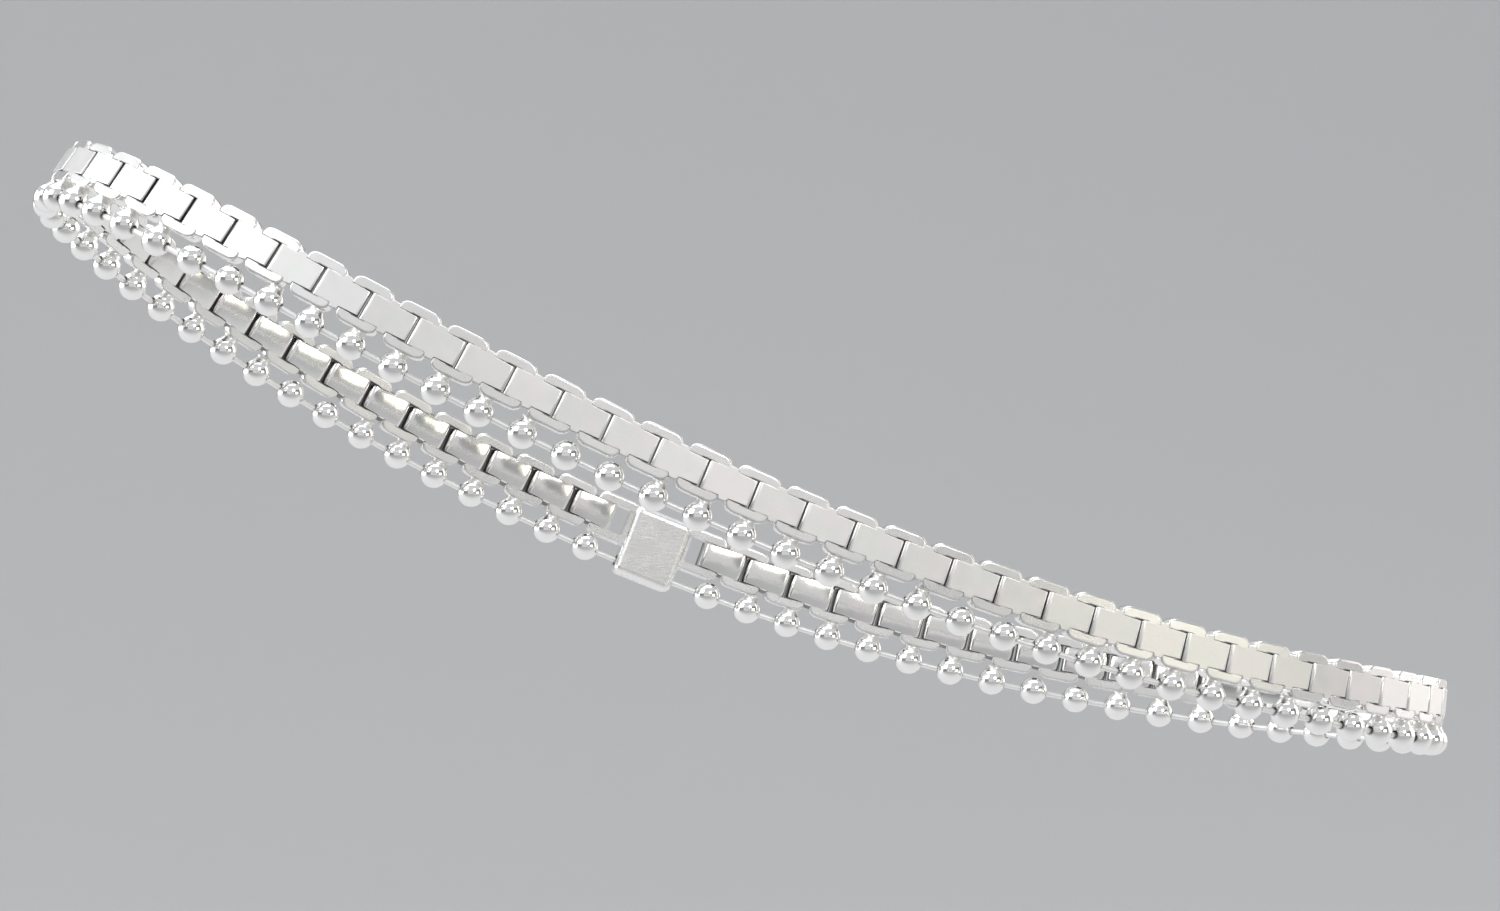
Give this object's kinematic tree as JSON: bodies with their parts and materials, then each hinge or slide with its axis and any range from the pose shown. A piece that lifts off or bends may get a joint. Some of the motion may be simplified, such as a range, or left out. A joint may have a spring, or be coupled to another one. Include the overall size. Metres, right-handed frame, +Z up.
{
  "type": "payal anklet",
  "caption": "Silver anklet worn on a slant: a flat-faced box chain with a ball strand soldered along its lower edge, closed by a plain clasp.",
  "frame": {"origin": "the middle of the ankle opening, level with the middle of the band at the ankle's two sides", "axes": "+X level from the front of the ankle to the heel, -Y the outer side of a left ankle, +Z up the leg"},
  "size_m": [0.1059, 0.0574, 0.0447],
  "materials": {
    "satin_silver": "satin silver, finely brushed",
    "polished_silver": "polished silver"
  },
  "bodies": {
    "root": {"panel_links": "satin_silver", "rail_links": "polished_silver", "free_balls": "polished_silver", "ball_wire": "polished_silver", "clasp": "satin_silver"}
  },
  "joints": []
}
